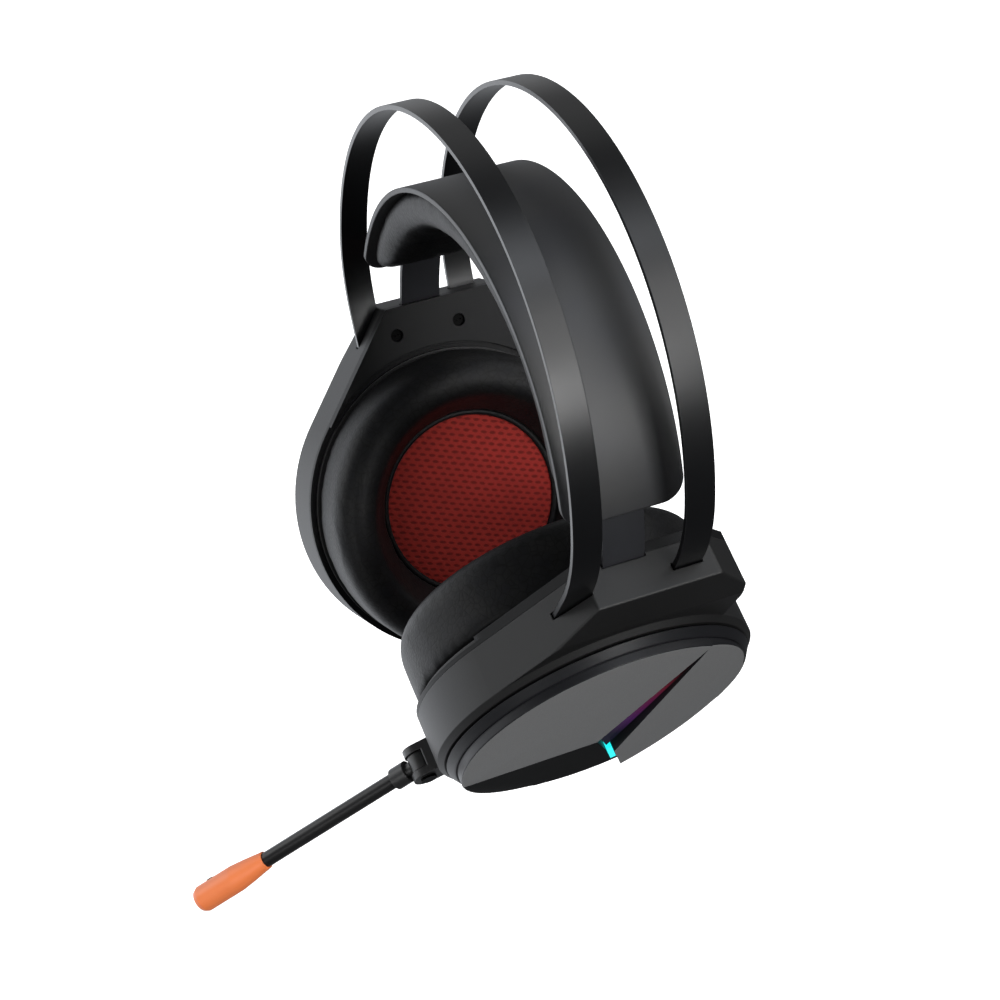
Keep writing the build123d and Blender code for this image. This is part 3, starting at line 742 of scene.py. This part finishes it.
def head_cushion_form():
    """The slack head cushion: an arched block, thin and rounded at its ends."""
    outer = pad_radius - skin_thickness
    inner = pad_seat_radius - pad_thickness + pad_shrink
    half = skin_high.y - 0.5 * mm - pad_shrink
    soft = 4.5 * mm
    thinning = 17 * mm
    profile = [(0.0, -half, outer), (0.0, half, outer)]
    for side in (1, -1):
        for step in range(5):
            turn = math.radians(90 * step / 4)
            if side == -1:
                turn = math.pi / 2 - turn
            y = side * (half - soft + soft * math.cos(turn))
            profile.append((0.0, y, inner + soft - soft * math.sin(turn)))
    shape = bmesh.new()
    ring = [shape.verts.new((x, y, z)) for x, y, z in profile]
    face = shape.faces.new(ring)
    shape.transform(Matrix.Rotation(-pad_end_angle, 4, "Y"))
    bmesh.ops.spin(shape, geom=[face], axis=(0, 1, 0), angle=2 * pad_end_angle, steps=72)
    bmesh.ops.recalc_face_normals(shape, faces=shape.faces)
    for vertex in shape.verts:
        angle = math.atan2(vertex.co.x, vertex.co.z)
        to_end = (pad_end_angle - abs(angle)) * outer
        share = min(max(to_end / thinning, 0.0), 1.0)
        fullness = 0.3 + 0.7 * math.sin(share * math.pi / 2)
        reach = math.hypot(vertex.co.x, vertex.co.z)
        reach = outer - (outer - reach) * fullness
        corner = min(max(to_end, 0.0), pad_corner)
        width = half - pad_corner + math.sqrt(pad_corner**2 - (pad_corner - corner) ** 2)
        y = vertex.co.y * width / half
        vertex.co = Vector((reach * math.sin(angle), y, reach * math.cos(angle)))
    shape.transform(Matrix.Translation((0, 0, pad_axis_height)))
    return shape


def on_skin(point):
    """Whether a point of the head cushion lies against the pad's skin."""
    reach = math.hypot(point.x, point.z - pad_axis_height)
    return reach > pad_radius - skin_thickness - 1.2 * mm


full_pad = stuff(head_cushion_form(), 2.4 * mm, 1.6 * mm, on_skin)
covered = ["pad_cushion", "pad_core"]
head_cushion = piece_from(
    full_pad, "head_cushion_leather", "cushion_leather", "head_pad", covered
)
add_subdivision(head_cushion)


# ------------------------------------------------------ floor, dome and lighting

headset_middle = Vector((0, 0, 0.03))
floor_drop = 0.12
floor_half_width = 6.0
dome_radius = 5.0


def area_light(name, place, size, power, colour=(1, 1, 1)):
    """A softbox at this place, turned to the middle of the headset."""
    lamp = bpy.data.lights.new(name, "AREA")
    lamp.shape = "RECTANGLE"
    lamp.size, lamp.size_y = size
    lamp.energy = power
    lamp.color = colour
    light = bpy.data.objects.new(name, lamp)
    light.location = place
    way = headset_middle - Vector(place)
    light.rotation_euler = way.to_track_quat("-Z", "Y").to_euler()
    bpy.context.scene.collection.objects.link(light)


def stage_piece(shape, name, paint):
    """Part of the studio, seen by the camera. The headset takes no light from it."""
    mesh = bpy.data.meshes.new(name)
    shape.to_mesh(mesh)
    shape.free()
    mesh.materials.append(paint)
    piece = bpy.data.objects.new(name, mesh)
    bpy.context.scene.collection.objects.link(piece)
    piece.visible_glossy = False
    piece.visible_diffuse = False
    return piece


def pale_paint():
    finish = Finish("studio paint", Roughness=0.9, Specular_IOR_Level=0.1, Emission_Strength=1.0)
    patch = finish.noise(0.4, 2.0)
    paint = finish.blend(patch, grey(0.9), grey(0.92))
    return finish.set(Base_Color=paint, Emission_Color=paint)


def pale_studio():
    """A wide pale floor a little below the headset, and a pale dome over it."""
    paint = pale_paint()
    floor_height = cad_box[0].z - floor_drop
    ground = bmesh.new()
    bmesh.ops.create_grid(ground, x_segments=1, y_segments=1, size=floor_half_width)
    bmesh.ops.translate(ground, verts=ground.verts, vec=(0, 0, floor_height))
    stage_piece(ground, "floor", paint)
    dome = bmesh.new()
    bmesh.ops.create_uvsphere(dome, u_segments=48, v_segments=24, radius=dome_radius)
    bmesh.ops.reverse_faces(dome, faces=dome.faces)
    backdrop = stage_piece(dome, "backdrop", paint)
    backdrop.visible_shadow = False


def room_light(colour, level, card, card_level):
    """Even light from all round, and more from a white card towards one side."""
    world = bpy.data.worlds.new("studio")
    world.use_nodes = True
    tree = world.node_tree
    way = new_node(tree, "TexCoord", output="Generated")
    towards = Vector(card).normalized()
    dot = {"operation": "DOT_PRODUCT"}
    share = new_node(tree, "VectorMath", dot, {0: way, 1: towards}, "Value").clamped()
    background = tree.nodes["Background"]
    background.inputs["Color"].default_value = colour
    connect(tree, level + card_level * share * share * share, background.inputs["Strength"])
    return world


scene = bpy.context.scene
scene.view_settings.view_transform = "Standard"
scene.world = room_light((0.92, 0.95, 1.0, 1), 0.07, (-0.65, -0.55, -0.5), 2.4)
pale_studio()
area_light("key softbox", (0.83, 0.48, 0.9), (0.65, 0.65), 5.0)
area_light("hoop softbox", (1.16, 0.2, 0.58), (0.4, 0.4), 9.0)
area_light("rear softbox", (0.0, 0.97, 0.9), (0.65, 0.65), 4.0)
area_light("overhead softbox", (0.3, 0.2, 1.28), (0.6, 0.6), 4.4, (0.9, 0.94, 1.0))
area_light("back softbox", (-0.84, 0.48, 0.9), (0.65, 0.65), 0.6)
area_light("rim light", (-1.15, 0.56, 0.26), (0.65, 0.65), 0.45)
area_light("far fill", (-0.65, -1.1, 0.25), (0.8, 0.65), 4.0)
area_light("front fill", (0.8, -1.0, 0.25), (0.65, 0.65), 3.6)


# --------------------------------------------------------------------- camera

camera_turn = math.radians(65.66)
camera_rise = math.radians(38.14)
camera_roll = math.radians(-0.41)
camera_distance = 0.7
camera_aim = Vector((0.01314, -0.01047, 0.02909))

camera = bpy.data.objects.new("camera", bpy.data.cameras.new("camera"))
camera.data.sensor_width = 36.0
camera.data.lens = 88.96
facing = (
    Matrix.Rotation(camera_turn, 4, "Z")
    @ Matrix.Rotation(math.pi / 2 - camera_rise, 4, "X")
    @ Matrix.Rotation(camera_roll, 4, "Z")
)
pulled_back = Matrix.Translation((0, 0, camera_distance))
camera.matrix_world = Matrix.Translation(camera_aim) @ facing @ pulled_back
camera.data.clip_start = 0.05
scene.collection.objects.link(camera)
scene.camera = camera
